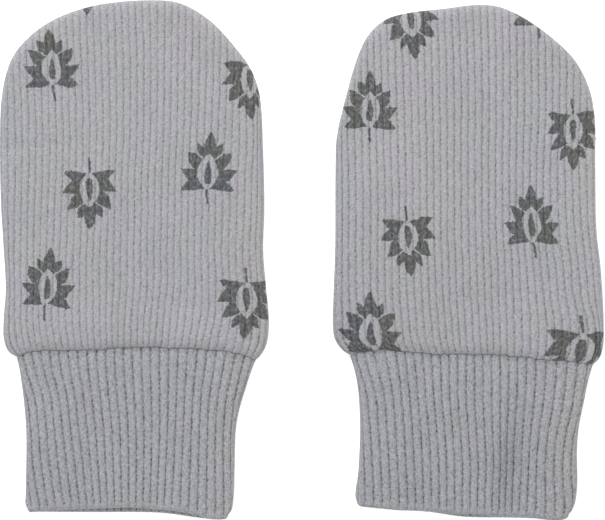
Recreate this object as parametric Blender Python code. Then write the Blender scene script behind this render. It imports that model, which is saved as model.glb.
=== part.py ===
"""Pair of thumbless baby mittens in rib knit, laid flat side by side.

Each mitten is a bag of a front and a back panel, joined along their round outline, with a
ribbed cuff sewn to the bag's lower edge. The cuff is one tube of rib folded double, so its
mouth is a fold. Every piece is a real wall of cloth, 0.3 mm clear of its neighbours.

Frame: +X to the right of the pair, +Y towards the finger ends, +Z up off the surface that
the pair lies on. The origin is the middle of the pair's footprint, on that surface.
Tables are in millimetres; each mitten's own zero is the middle of its wrist seam.
"""

import math

import bpy
import numpy as np

MM = 0.001

# Cloth
BAG_WALL = 1.5  # one layer of the bag's rib knit
CUFF_WALL = 2.2  # the cuff's rib knit, folded double
SEAM_WALL = 1.3  # either wall where the wrist stitching draws it in
SEAM_GAP = 0.3  # clearance between neighbouring pieces along a seam

# Heights above the surface, of the outside of the cloth
BAG_HEIGHT = 4.6  # the bag's front over the palm
WRIST_PUFF = 0.8  # how much higher the bag stands just above the wrist seam
CUFF_HEIGHT = 5.4  # the cuff's front
MOUTH_LIFT = 0.5  # how much higher the cuff's front stands in the middle of its mouth
EDGE_LEVEL = 2.4  # the outline seam and the cuff's side folds
CREASE_TOP = 4.4  # the front, down in the wrist seam's crease
CREASE_UNDER = 0.5  # the back, up in the same crease

# Roundings
EDGE_ROLL = 2.6  # from the outline in to the full height
CREASE_ROLL = 1.8  # from the wrist seam down the cuff to the full height

# Facets
OUTLINE_STEPS = 54  # along the bag's outline, seam end to seam end
ROLL_ANGLES = (0.0, 22.0, 46.0, 70.0, 90.0)  # across a rolled edge, outside
INNER_ANGLES = (0.0, 45.0, 90.0)  # across a rolled edge, inside
SIDE_ANGLES = (0.0, 30.0, 60.0, 90.0)  # round a cuff's side fold
ACROSS_STEPS = 9  # across the flat of a cuff, between its side folds
BAG_CENTRE = (0.0, 43.0)
BAG_SPINE = (30.0, 55.0)  # lowest and highest y that the edge rolls in towards

# Outlines, each a smooth curve through its rows, from the left end to the right end.
# OUTLINE columns: x, y. It runs from the wrist seam's left end over the finger end.
LEFT_OUTLINE = (
    (-30.0, -1.8), (-32.3, -0.3), (-33.5, 3.1), (-33.5, 8.4), (-33.0, 15.7),
    (-33.6, 27.4), (-34.3, 39.2), (-34.5, 57.5), (-33.8, 67.9), (-31.6, 75.7),
    (-27.7, 81.0), (-20.6, 86.2), (-9.7, 90.0), (5.2, 91.4), (12.5, 90.6),
    (20.2, 86.2), (27.5, 78.4), (31.2, 73.1), (33.4, 66.3), (34.2, 53.5),
    (34.6, 37.4), (34.3, 25.6), (35.1, 15.9), (35.8, 7.3), (35.2, 1.6),
    (33.7, -1.3), (32.3, -2.7),
)
RIGHT_OUTLINE = (
    (-31.1, -0.5), (-33.1, 0.8), (-35.1, 3.7), (-35.6, 7.3), (-35.4, 15.9),
    (-35.0, 26.9), (-34.9, 46.5), (-34.6, 56.2), (-32.8, 64.5), (-29.4, 76.5),
    (-27.1, 81.8), (-24.6, 85.0), (-21.4, 87.3), (-16.7, 88.7), (-6.3, 90.0),
    (2.9, 91.0), (8.1, 90.4), (14.6, 87.4), (22.4, 81.8), (27.8, 76.3),
    (31.2, 69.7), (32.8, 62.2), (33.0, 49.1), (33.3, 32.6), (34.5, 21.2),
    (35.2, 7.3), (35.0, 1.6), (34.0, -1.4), (32.4, -3.0),
)
# WRIST columns: x, y of the seam between bag and cuff.
LEFT_WRIST = (
    (-30.0, -1.8), (-27.0, -0.4), (-23.8, -0.2), (-14.9, -0.1), (-7.1, 0.4),
    (-0.3, 0.6), (13.8, 0.6), (20.1, 0.0), (26.9, -0.8), (30.3, -1.6), (32.3, -2.7),
)
RIGHT_WRIST = (
    (-31.1, -0.5), (-27.9, 0.2), (-24.0, 0.6), (-20.1, 0.7), (-13.3, 0.2),
    (-8.6, -0.2), (0.3, -0.4), (8.4, -0.4), (15.1, -1.1), (22.2, -2.0),
    (27.7, -2.4), (32.4, -3.0),
)
# SIDE columns: x, y of the cuff's two side folds, from the wrist down to the mouth.
LEFT_SIDES = (
    ((-30.0, -1.8), (-29.3, -5.2), (-28.6, -10.4), (-28.0, -15.7), (-27.6, -21.4),
     (-27.6, -30.0), (-27.8, -37.6), (-27.7, -40.6), (-26.6, -42.1)),
    ((32.3, -2.7), (31.3, -5.2), (29.6, -10.4), (28.0, -15.7), (27.1, -20.9),
     (26.8, -31.3), (26.6, -38.4), (26.0, -41.8), (24.4, -43.9)),
)
RIGHT_SIDES = (
    ((-31.1, -0.5), (-29.9, -4.4), (-29.1, -8.6), (-28.6, -15.4), (-28.5, -22.2),
     (-29.1, -30.6), (-29.9, -37.5), (-28.9, -39.8)),
    ((32.4, -3.0), (31.2, -7.1), (30.1, -12.3), (28.8, -18.8), (28.2, -25.3),
     (28.2, -33.7), (27.8, -38.4), (25.1, -42.5)),
)
# MOUTH columns: x, y of the fold at the cuff's mouth, on its back.
LEFT_MOUTH = (
    (-26.6, -42.1), (-11.0, -42.2), (4.7, -42.3), (9.9, -42.7), (15.1, -43.5),
    (20.4, -44.1), (24.4, -43.9),
)
RIGHT_MOUTH = (
    (-28.9, -39.8), (-19.3, -40.8), (-10.2, -41.4), (-1.6, -42.6), (9.4, -42.7),
    (15.9, -42.8), (21.9, -43.3), (25.1, -42.5),
)
# SHORT columns: share of the way across, how much shorter the front is than the back there.
LEFT_SHORT = ((0.0, 0.0), (0.2, 0.6), (0.5, 1.1), (0.62, 0.8), (0.8, 0.8), (0.93, 0.1), (1.0, 0.0))
RIGHT_SHORT = ((0.0, 0.0), (0.2, 0.05), (0.45, 0.5), (0.55, 0.8), (0.7, 0.3), (0.82, 0.4), (1.0, 0.0))

# The largest soft hollows in the fronts. Columns: middle x, middle y, half length,
# half width, direction in degrees from +X, depth.
LEFT_FOLDS = (
    (-21.0, 53.0, 12.0, 4.0, -6.0, 0.25),
    (-16.0, 34.0, 14.0, 4.5, 4.0, 0.20),
    (29.0, 38.0, 16.0, 3.5, 92.0, 0.25),
    (14.0, -9.0, 9.0, 3.5, 160.0, 0.25),
    (-16.0, -31.0, 10.0, 4.5, 75.0, 0.25),
)
RIGHT_FOLDS = (
    (11.2, -29.0, 11.0, 2.6, 88.0, 0.80),
    (-27.0, 10.0, 9.0, 4.0, 120.0, 0.30),
    (18.0, 22.0, 14.0, 5.0, 10.0, 0.20),
    (-12.0, -27.0, 9.0, 4.0, 100.0, 0.25),
)

MITTENS = {
    "left": dict(place=(-44.4, -23.6), outline=LEFT_OUTLINE, wrist=LEFT_WRIST, sides=LEFT_SIDES,
                 mouth=LEFT_MOUTH, short=LEFT_SHORT, folds=LEFT_FOLDS),
    "right": dict(place=(43.6, -24.4), outline=RIGHT_OUTLINE, wrist=RIGHT_WRIST, sides=RIGHT_SIDES,
                  mouth=RIGHT_MOUTH, short=RIGHT_SHORT, folds=RIGHT_FOLDS),
}

BAG_GREY = (0.381, 0.381, 0.404)
CUFF_GREY = (0.319, 0.325, 0.345)


def smooth_curve(rows, per_row=24):
    """A dense centripetal Catmull-Rom curve through the rows of a table."""
    p = np.array(rows, float)
    p = np.vstack([2 * p[0] - p[1], p, 2 * p[-1] - p[-2]])
    out = []
    for a, b, c, d in zip(p, p[1:], p[2:], p[3:]):
        t0 = 0.0
        t1 = t0 + np.linalg.norm(b - a) ** 0.5
        t2 = t1 + np.linalg.norm(c - b) ** 0.5
        t3 = t2 + np.linalg.norm(d - c) ** 0.5
        t = np.linspace(t1, t2, per_row, endpoint=False)[:, None]
        ab = ((t1 - t) * a + (t - t0) * b) / (t1 - t0)
        bc = ((t2 - t) * b + (t - t1) * c) / (t2 - t1)
        cd = ((t3 - t) * c + (t - t2) * d) / (t3 - t2)
        abc = ((t2 - t) * ab + (t - t0) * bc) / (t2 - t0)
        bcd = ((t3 - t) * bc + (t - t1) * cd) / (t3 - t1)
        out.append(((t2 - t) * abc + (t - t1) * bcd) / (t2 - t1))
    return np.vstack(out + [p[-2:-1]])


def along(curve, shares):
    """The points of a dense curve at these shares of its length."""
    run = np.r_[0.0, np.cumsum(np.linalg.norm(np.diff(curve, axis=0), axis=1))]
    at = np.asarray(shares, float) * run[-1]
    return np.stack([np.interp(at, run, curve[:, i]) for i in (0, 1)], axis=-1)


def length(curve):
    return float(np.linalg.norm(np.diff(curve, axis=0), axis=1).sum())


def rise(distance, roll):
    """Height share, 0 to 1, of a rounded edge at a distance in from it."""
    v = np.clip(np.asarray(distance, float) / roll, 0.0, 1.0)
    return np.sqrt(1.0 - (1.0 - v) ** 2)


def hollows(x, y, folds):
    """Depth of the soft folds at a point."""
    depth = np.zeros(np.broadcast(x, y).shape)
    for fx, fy, half_length, half_width, direction, deep in folds:
        c, s = math.cos(math.radians(direction)), math.sin(math.radians(direction))
        run = ((x - fx) * c + (y - fy) * s) / half_length
        off = ((y - fy) * c - (x - fx) * s) / half_width
        depth = depth + deep * np.exp(-(run**2) - off**2)
    return depth


def crossings(width):
    """Shares of the way across a cuff, close together at its side folds."""
    turn = EDGE_ROLL * (1 - np.cos(np.radians(SIDE_ANGLES))) / width
    flat = np.linspace(turn[-1], 1 - turn[-1], ACROSS_STEPS + 1)[1:-1]
    return np.r_[turn, flat, 1 - turn[::-1]]


def outline_ring(m):
    """The bag's whole outline and, for each point, how far into the wrist seam it is, 0 to 1.

    It starts at the seam's right end, runs back along the seam, and over the finger end.
    """
    wrist = smooth_curve(m["wrist"])
    share = crossings(length(wrist))
    seam = along(wrist, share[::-1])
    edge = along(smooth_curve(m["outline"]), np.linspace(0, 1, OUTLINE_STEPS + 1)[1:-1])
    from_end = np.minimum(share, 1 - share)[::-1] * length(wrist)
    in_seam = np.r_[rise(from_end, EDGE_ROLL), np.zeros(len(edge))]
    return np.vstack([seam, edge]), in_seam


def inset(ring, distance):
    """Each point moved in from the outline, towards the bag's spine, by this much across the edge."""
    target = np.stack([np.full(len(ring), BAG_CENTRE[0]), np.clip(ring[:, 1], *BAG_SPINE)], axis=1)
    ray = target - ring
    ray /= np.linalg.norm(ray, axis=1)[:, None]
    tangent = np.roll(ring, -1, axis=0) - np.roll(ring, 1, axis=0)
    tangent /= np.linalg.norm(tangent, axis=1)[:, None]
    square_on = np.abs(ray[:, 0] * tangent[:, 1] - ray[:, 1] * tangent[:, 0])
    return ring + ray * (distance / np.maximum(square_on, 0.6))[:, None]


def skin(name, loops, colour, roughness, parent, caps):
    """A closed mesh over a stack of equal loops, in millimetres. Its ends close on points, or on each other."""
    n = len(loops[0])
    points = np.vstack(loops + ([loops[0].mean(axis=0)[None], loops[-1].mean(axis=0)[None]] if caps else []))
    faces = []
    rows = len(loops)
    for i in range(rows - 1 if caps else rows):
        a, b = i * n, (i + 1) % rows * n
        faces += [(a + j, a + (j + 1) % n, b + (j + 1) % n, b + j) for j in range(n)]
    if caps:
        first, last = rows * n, rows * n + 1
        faces += [(first, (j + 1) % n, j) for j in range(n)]
        faces += [(last, (rows - 1) * n + j, (rows - 1) * n + (j + 1) % n) for j in range(n)]
    corners = points[np.array([(f[0], f[1], f[2]) for f in faces] + [(f[0], f[2], f[3]) for f in faces if len(f) == 4])]
    if np.linalg.det(corners).sum() < 0:
        faces = [f[::-1] for f in faces]
    mesh = bpy.data.meshes.new(name)
    mesh.from_pydata((points * MM).tolist(), [], faces)
    mesh.shade_smooth()
    mesh.set_sharp_from_angle(angle=math.radians(50))
    material = bpy.data.materials.new(name + "_rib_knit")
    material.use_nodes = True
    shader = material.node_tree.nodes["Principled BSDF"]
    shader.inputs["Base Color"].default_value = (*colour, 1.0)
    shader.inputs["Roughness"].default_value = roughness
    shader.inputs["Metallic"].default_value = 0.0
    mesh.materials.append(material)
    piece = bpy.data.objects.new(name, mesh)
    bpy.context.scene.collection.objects.link(piece)
    piece.parent = parent
    return piece


def lifted(xy, z):
    return np.column_stack([xy, np.broadcast_to(z, len(xy))])


def bag_panel(name, m, parent, front):
    """One panel of the bag: a wall of cloth whose edge rolls in to the outline seam, and down into the wrist seam."""
    ring, in_seam = outline_ring(m)
    centre = np.array(BAG_CENTRE)

    def flat_level(xy):
        if not front:
            return np.zeros(len(xy))
        puff = WRIST_PUFF * np.exp(-(((xy[:, 1] - 6.0) / 8.0) ** 2))
        return BAG_HEIGHT + puff - hollows(xy[:, 0], xy[:, 1], m["folds"])

    side = 1.0 if front else -1.0
    edge = EDGE_LEVEL + side * SEAM_GAP / 2
    crease = CREASE_TOP if front else CREASE_UNDER
    lip_out = edge + (crease - edge) * in_seam
    lip_in = edge + (crease - side * SEAM_WALL - edge) * in_seam

    outer = []
    for angle in ROLL_ANGLES:
        turn = math.radians(angle)
        xy = inset(ring, EDGE_ROLL * (1 - math.cos(turn)))
        outer.append(lifted(xy, lip_out + (flat_level(xy) - lip_out) * math.sin(turn)))
    inner = []
    for angle in INNER_ANGLES:
        turn = math.radians(angle)
        start = BAG_WALL * (1 - in_seam)
        xy = inset(ring, start + (EDGE_ROLL + 0.4 - start) * (1 - math.cos(turn)))
        level = flat_level(xy) - side * BAG_WALL
        inner.append(lifted(xy, lip_in + (level - lip_in) * math.sin(turn)))
    rim_out, rim_in = outer[-1][:, :2], inner[-1][:, :2]
    for share in (0.36, 0.72):
        xy = rim_out * (1 - share) + centre * share
        outer.append(lifted(xy, flat_level(xy)))
    xy = (rim_in + centre) / 2
    inner.append(lifted(xy, flat_level(xy) - side * BAG_WALL))
    return skin(name, outer[::-1] + inner, BAG_GREY, 0.92, parent, caps=True)


def cuff_tube(name, m, parent):
    """The cuff: a flattened tube with a doubled wall, a round fold at its mouth and a rolled seam at the wrist."""
    wrist, mouth = smooth_curve(m["wrist"]), smooth_curve(m["mouth"])
    wrist = wrist - (0.0, SEAM_GAP)
    sides = [smooth_curve(rows) - np.array([0.0, SEAM_GAP]) * (np.linspace(1, 0, 24 * (len(rows) - 1) + 1)[:, None])
             for rows in m["sides"]]
    width = length(wrist)
    run = length(sides[0])
    half = CUFF_WALL / 2

    def place(across, down):
        """The point this share of the way across and down, between the cuff's four edges."""
        a, d = np.asarray(across)[:, None], down
        left, right = along(sides[0], [down])[0], along(sides[1], [down])[0]
        top, bottom = along(wrist, across), along(mouth, across)
        ends = (1 - a) * (1 - d) * wrist[0] + a * (1 - d) * wrist[-1] + (1 - a) * d * mouth[0] + a * d * mouth[-1]
        return (1 - a) * left + a * right + (1 - d) * top + d * bottom - ends

    share = crossings(width)
    turn = rise(np.minimum(share, 1 - share) * width, EDGE_ROLL)
    # Columns round the tube: the front from left to right, then the back from right to left.
    across = np.r_[share, share[::-1][1:-1]]
    turned = np.r_[turn, turn[::-1][1:-1]]
    front = np.r_[np.ones(len(share)), -np.ones(len(share) - 2)]
    side_in = np.where(across < 0.5, 1.0, -1.0)
    short = np.interp(across, *zip(*m["short"])) * (front > 0)

    def shells(down):
        """The wall's outside and inside loops this share of the way down."""
        xy = place(across, down)
        xy[:, 1] += short * min(1.0, max(0.0, (down - 0.5) / 0.5)) ** 2
        into = down * run
        lift = MOUTH_LIFT * max(0.0, down - 0.4) / 0.6 * np.sin(np.pi * across)
        top = CUFF_HEIGHT + lift - hollows(xy[:, 0], xy[:, 1], m["folds"])
        rolled = float(rise(into, CREASE_ROLL))
        top_out = CREASE_TOP + (top - CREASE_TOP) * rolled
        under_out = CREASE_UNDER * (1 - rolled)
        wall = SEAM_WALL + (CUFF_WALL - SEAM_WALL) * rolled
        level_out = np.where(front > 0, top_out, under_out)
        level_in = level_out - front * wall
        depth = CUFF_WALL * side_in * (1 - turned)
        outside = lifted(xy, EDGE_LEVEL + (level_out - EDGE_LEVEL) * turned)
        inside = lifted(xy + np.column_stack([depth, np.zeros(len(xy))]), EDGE_LEVEL + (level_in - EDGE_LEVEL) * turned)
        return outside, inside

    hem = 1 - half / run
    stops = (0.0, 0.25 * CREASE_ROLL / run, CREASE_ROLL / run, 0.28, 0.52, 0.76, hem)
    outside = [shells(d)[0] for d in stops]
    inside = [shells(d)[1] for d in (hem, 0.6, CREASE_ROLL / run, 0.0)]
    last, first = shells(hem)
    fold = []
    for angle in (45.0, 90.0, 135.0):
        c, s = math.cos(math.radians(angle)), math.sin(math.radians(angle))
        fold.append((last + first) / 2 + (last - first) / 2 * c + np.array([0.0, -half * s, 0.0]))
    return skin(name, outside + fold + inside, CUFF_GREY, 0.94, parent, caps=False)


def footprint():
    """The middle of the pair, from every edge that reaches its outer box."""
    spots = []
    for m in MITTENS.values():
        cuff = [smooth_curve(m["mouth"])] + [smooth_curve(rows) for rows in m["sides"]]
        spots += [curve + np.array(m["place"]) for curve in [smooth_curve(m["outline"])] + cuff]
    spots = np.vstack(spots)
    return (spots.min(axis=0) + spots.max(axis=0)) / 2


def main():
    for obj in list(bpy.data.objects):
        bpy.data.objects.remove(obj, do_unlink=True)
    middle = footprint()
    for side, m in MITTENS.items():
        holder = bpy.data.objects.new(side + "_mitten", None)
        holder.empty_display_size = 0.02
        holder.location = (*((np.array(m["place"]) - middle) * MM), 0.0)
        bpy.context.scene.collection.objects.link(holder)
        bag_panel(side + "_front_panel", m, holder, front=True)
        bag_panel(side + "_back_panel", m, holder, front=False)
        cuff_tube(side + "_cuff", m, holder)


main()
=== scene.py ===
"""Looks of the pair of baby mittens: rib knit with real relief, a leaf print, soft studio light.

The shapes repeat part.py's tables and functions, at the knit's own fineness. Lengths here are in
millimetres until a mesh is made. Each mitten's zero is the middle of its wrist seam.
"""

import math

import bpy
import numpy as np
from mathutils.kdtree import KDTree
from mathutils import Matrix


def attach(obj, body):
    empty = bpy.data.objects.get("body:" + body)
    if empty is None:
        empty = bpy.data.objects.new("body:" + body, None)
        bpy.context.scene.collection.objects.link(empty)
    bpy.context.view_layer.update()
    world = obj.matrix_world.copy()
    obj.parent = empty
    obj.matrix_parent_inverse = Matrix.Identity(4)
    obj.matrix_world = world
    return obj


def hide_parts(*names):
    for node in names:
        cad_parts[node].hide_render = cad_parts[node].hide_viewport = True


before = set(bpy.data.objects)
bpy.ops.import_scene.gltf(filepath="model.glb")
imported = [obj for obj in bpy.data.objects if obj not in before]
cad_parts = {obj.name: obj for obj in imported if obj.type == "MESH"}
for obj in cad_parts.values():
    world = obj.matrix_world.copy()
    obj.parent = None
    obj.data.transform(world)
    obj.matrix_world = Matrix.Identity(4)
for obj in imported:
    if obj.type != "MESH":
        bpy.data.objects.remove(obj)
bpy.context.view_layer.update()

MM = 0.001

# ---------------------------------------------------------------- the construction, as in part.py
BAG_WALL = 1.5
CUFF_WALL = 2.2
SEAM_WALL = 1.3
SEAM_GAP = 0.3
BAG_HEIGHT = 4.6
WRIST_PUFF = 0.8
CUFF_HEIGHT = 5.4
MOUTH_LIFT = 0.5
EDGE_LEVEL = 2.4
CREASE_TOP = 4.4
CREASE_UNDER = 0.5
EDGE_ROLL = 2.6
CREASE_ROLL = 1.8
BAG_CENTRE = (0.0, 43.0)
BAG_SPINE = (30.0, 55.0)

LEFT_OUTLINE = (
    (-30.0, -1.8), (-32.3, -0.3), (-33.5, 3.1), (-33.5, 8.4), (-33.0, 15.7),
    (-33.6, 27.4), (-34.3, 39.2), (-34.5, 57.5), (-33.8, 67.9), (-31.6, 75.7),
    (-27.7, 81.0), (-20.6, 86.2), (-9.7, 90.0), (5.2, 91.4), (12.5, 90.6),
    (20.2, 86.2), (27.5, 78.4), (31.2, 73.1), (33.4, 66.3), (34.2, 53.5),
    (34.6, 37.4), (34.3, 25.6), (35.1, 15.9), (35.8, 7.3), (35.2, 1.6),
    (33.7, -1.3), (32.3, -2.7),
)
RIGHT_OUTLINE = (
    (-31.1, -0.5), (-33.1, 0.8), (-35.1, 3.7), (-35.6, 7.3), (-35.4, 15.9),
    (-35.0, 26.9), (-34.9, 46.5), (-34.6, 56.2), (-32.8, 64.5), (-29.4, 76.5),
    (-27.1, 81.8), (-24.6, 85.0), (-21.4, 87.3), (-16.7, 88.7), (-6.3, 90.0),
    (2.9, 91.0), (8.1, 90.4), (14.6, 87.4), (22.4, 81.8), (27.8, 76.3),
    (31.2, 69.7), (32.8, 62.2), (33.0, 49.1), (33.3, 32.6), (34.5, 21.2),
    (35.2, 7.3), (35.0, 1.6), (34.0, -1.4), (32.4, -3.0),
)
LEFT_WRIST = (
    (-30.0, -1.8), (-27.0, -0.4), (-23.8, -0.2), (-14.9, -0.1), (-7.1, 0.4),
    (-0.3, 0.6), (13.8, 0.6), (20.1, 0.0), (26.9, -0.8), (30.3, -1.6), (32.3, -2.7),
)
RIGHT_WRIST = (
    (-31.1, -0.5), (-27.9, 0.2), (-24.0, 0.6), (-20.1, 0.7), (-13.3, 0.2),
    (-8.6, -0.2), (0.3, -0.4), (8.4, -0.4), (15.1, -1.1), (22.2, -2.0),
    (27.7, -2.4), (32.4, -3.0),
)
LEFT_SIDES = (
    ((-30.0, -1.8), (-29.3, -5.2), (-28.6, -10.4), (-28.0, -15.7), (-27.6, -21.4),
     (-27.6, -30.0), (-27.8, -37.6), (-27.7, -40.6), (-26.6, -42.1)),
    ((32.3, -2.7), (31.3, -5.2), (29.6, -10.4), (28.0, -15.7), (27.1, -20.9),
     (26.8, -31.3), (26.6, -38.4), (26.0, -41.8), (24.4, -43.9)),
)
RIGHT_SIDES = (
    ((-31.1, -0.5), (-29.9, -4.4), (-29.1, -8.6), (-28.6, -15.4), (-28.5, -22.2),
     (-28.9, -30.6), (-29.7, -37.5), (-28.9, -39.8)),
    ((32.4, -3.0), (31.2, -7.1), (30.1, -12.3), (28.8, -18.8), (28.2, -25.3),
     (28.3, -33.7), (28.0, -37.6), (27.3, -40.1), (26.3, -41.8), (25.1, -42.5)),
)
LEFT_MOUTH = (
    (-26.6, -42.1), (-11.0, -42.2), (4.7, -42.3), (9.9, -42.7), (15.1, -43.5),
    (20.4, -44.1), (24.4, -43.9),
)
RIGHT_MOUTH = (
    (-28.9, -39.8), (-19.3, -40.8), (-10.2, -41.4), (-1.6, -42.6), (9.4, -42.7),
    (15.9, -42.8), (21.9, -43.3), (25.1, -42.5),
)
LEFT_SHORT = ((0.0, 0.0), (0.2, 0.6), (0.5, 1.1), (0.62, 0.8), (0.8, 0.8), (0.93, 0.1), (1.0, 0.0))
RIGHT_SHORT = ((0.0, 0.0), (0.2, 0.05), (0.45, 0.5), (0.55, 0.8), (0.7, 0.3), (0.82, 0.4), (1.0, 0.0))
LEFT_FOLDS = (
    (-21.0, 53.0, 12.0, 4.0, -6.0, 0.25),
    (-16.0, 34.0, 14.0, 4.5, 4.0, 0.20),
    (29.0, 38.0, 16.0, 3.5, 92.0, 0.25),
    (14.0, -9.0, 9.0, 3.5, 160.0, 0.25),
    (-16.0, -31.0, 10.0, 4.5, 75.0, 0.25),
)
RIGHT_FOLDS = (
    (11.2, -29.0, 11.0, 2.6, 88.0, 0.80),
    (-27.0, 10.0, 9.0, 4.0, 120.0, 0.30),
    (18.0, 22.0, 14.0, 5.0, 10.0, 0.20),
    (-12.0, -27.0, 9.0, 4.0, 100.0, 0.25),
)

# Where the ribs run along the bag's straight sides: lowest and highest y, left then right.
LEFT_RUN = ((8.0, 57.0), (9.0, 53.0))
RIGHT_RUN = ((7.5, 46.0), (8.0, 56.0))

# How far each rib leans from its straight run, in mm: a row for each height y, columns at these
# shares of the bag's width.
LEAN_AT = (0.0, 0.05, 0.20, 0.35, 0.50, 0.65, 0.80, 0.94, 1.0)
LEFT_LEAN = (
    (92.0, 0.0, -0.6, -0.8, -0.35, 0.1, 1.25, 1.8, 2.1, 0.0),
    (76.0, 0.0, -0.3, 0.1, 0.15, 0.75, 0.95, 1.5, 1.8, 0.0),
    (62.0, 0.0, 0.35, 0.5, 0.6, 0.75, 0.8, 1.1, 1.35, 0.0),
    (54.0, 0.0, 0.45, 0.75, 0.65, 0.65, 0.6, 0.65, 1.4, 0.0),
    (46.0, 0.0, 0.4, 0.5, 0.3, 0.05, 0.05, 0.05, 0.8, 0.0),
    (31.0, 0.0, -0.5, -0.6, -0.4, -0.4, -0.4, -0.2, 0.3, 0.0),
    (18.0, 0.0, -1.2, -1.5, -1.5, -1.1, -1.05, -0.55, 0.1, 0.0),
    (9.0, 0.0, -0.8, -1.7, -1.4, -1.95, -2.3, -1.4, -0.3, 0.0),
    (3.0, 0.0, -0.3, -0.9, -1.05, -2.05, -2.8, -2.5, -0.45, 0.0),
)
RIGHT_LEAN = (
    (92.0, 0.0, -1.2, -1.6, -1.1, -1.0, -0.45, -0.2, 0.1, 0.0),
    (76.0, 0.0, -0.8, -1.1, -0.6, -0.3, -0.15, 0.0, 0.25, 0.0),
    (62.0, 0.0, -0.8, -0.6, -0.3, -0.1, -0.15, 0.1, -0.1, 0.0),
    (54.0, 0.0, -0.7, -0.4, -0.1, -0.2, -0.25, -0.3, -0.4, 0.0),
    (40.0, 0.0, -0.4, 0.0, 0.0, -0.15, -0.3, -0.6, -0.05, 0.0),
    (24.0, 0.0, -0.4, -0.2, -0.1, -0.3, -0.4, -0.4, 0.25, 0.0),
    (14.0, 0.0, 0.15, 0.1, 0.3, -0.2, -0.45, 0.05, 0.5, 0.0),
    (8.0, 0.0, 0.5, 0.7, 0.8, 0.2, -0.4, 0.6, 1.7, 0.0),
    (3.0, 0.0, 0.2, 0.8, 1.1, 0.3, -0.35, 0.5, 2.1, 0.0),
)
# Where a cuff's ribs run over its front: a row for each depth below the wrist, columns for these
# ribs, counted from the left fold at the wrist, values the ribs' x.
LEFT_TWIST_RIBS = (1.6, 6.6, 10.6, 14.6, 18.6, 24.6)
LEFT_TWIST = (
    (0.0, -29.2, -17.4, -7.7, 1.5, 11.0, 25.8),
    (4.2, -28.2, -16.9, -7.5, 1.6, 10.9, 25.0),
    (12.0, -25.8, -15.4, -6.8, 2.0, 10.7, 23.5),
    (19.9, -24.9, -14.5, -6.0, 2.4, 10.5, 23.0),
    (27.7, -24.4, -13.6, -5.6, 2.4, 10.2, 23.0),
    (35.5, -23.3, -12.8, -5.3, 2.3, 9.8, 23.2),
    (43.0, -22.0, -11.9, -5.0, 2.3, 9.5, 23.1),
)
RIGHT_TWIST_RIBS = (1.6, 3.6, 5.6, 9.6, 13.6, 17.6, 21.6, 25.6)
RIGHT_TWIST = (
    (0.0, -30.6, -25.9, -20.2, -10.8, -1.6, 7.1, 16.4, 27.3),
    (3.4, -29.6, -25.1, -19.6, -10.5, -1.6, 7.2, 16.4, 26.9),
    (11.2, -27.5, -23.0, -18.5, -10.0, -1.6, 7.2, 15.9, 25.8),
    (19.1, -26.7, -22.3, -17.8, -9.3, -1.0, 7.3, 15.0, 24.0),
    (26.9, -26.2, -21.8, -17.4, -8.8, -0.5, 7.5, 14.5, 23.4),
    (34.7, -25.8, -21.4, -17.0, -8.7, -0.6, 7.1, 14.2, 23.8),
    (43.0, -25.8, -21.3, -16.8, -8.6, -0.6, 7.0, 13.7, 23.6),
)

# The finished surface: how the cloth turns over at the sides, and how the bag bulges over the cuff.
TURN = 1.7
TURN_SQUARE = 2.3
BAG_LIP = 4.42
BAG_SWELL = 1.15
CUFF_LIP = 4.33
CUFF_LOW = 4.36
CUFF_RISE = 5.0
LOOK_GAP = 0.015
HEM_SHORT = 1.45

# Faint ripples that show only in the cloth's surface, in the folds' columns.
LEFT_RIPPLES = (
    (-23.0, 53.5, 9.0, 1.3, 4.0, 0.16), (-15.0, 48.0, 11.0, 1.5, -5.0, 0.14),
    (-22.0, 39.0, 8.0, 1.4, 2.0, 0.15), (-13.0, 35.2, 9.0, 1.6, 8.0, 0.12),
    (-31.0, 53.0, 2.2, 1.6, 30.0, 0.35), (10.0, 12.0, 12.0, 2.2, -6.0, 0.12),
    (18.0, 70.0, 9.0, 2.4, 55.0, 0.12),
)
RIGHT_RIPPLES = (
    (-31.0, 5.0, 4.0, 2.0, 60.0, 0.40), (-6.0, 60.0, 12.0, 2.0, 6.0, 0.12),
    (20.0, 47.0, 9.0, 1.8, -8.0, 0.13), (4.0, 14.0, 13.0, 2.0, 3.0, 0.12),
    (-20.0, 40.0, 8.0, 1.6, 12.0, 0.14), (24.0, 14.0, 7.0, 2.2, -40.0, 0.16),
    (12.2, -28.5, 10.5, 2.4, 88.0, 1.0),
)
# Hollows of the undersides, which lift off the table there.
LEFT_UNDER = (
    (-14.0, 60.0, 15.0, 3.0, 22.0, 0.45), (12.0, 40.0, 18.0, 3.5, -12.0, 0.40),
    (20.0, 72.0, 9.0, 2.6, 70.0, 0.35), (-22.0, 22.0, 10.0, 2.8, 48.0, 0.40),
    (8.0, 10.0, 13.0, 2.4, 5.0, 0.30), (-10.0, -26.0, 10.0, 2.6, 80.0, 0.40),
    (14.0, -20.0, 8.0, 2.2, 104.0, 0.30),
)
RIGHT_UNDER = (
    (-8.0, 68.0, 14.0, 3.2, -25.0, 0.42), (16.0, 52.0, 13.0, 2.6, 18.0, 0.40),
    (-18.0, 36.0, 11.0, 3.4, 60.0, 0.35), (4.0, 22.0, 17.0, 3.0, -6.0, 0.42),
    (22.0, 10.0, 8.0, 2.4, 130.0, 0.30), (12.0, -27.0, 12.0, 2.4, 86.0, 0.42),
    (-16.0, -18.0, 9.0, 2.6, 70.0, 0.32),
)

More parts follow.
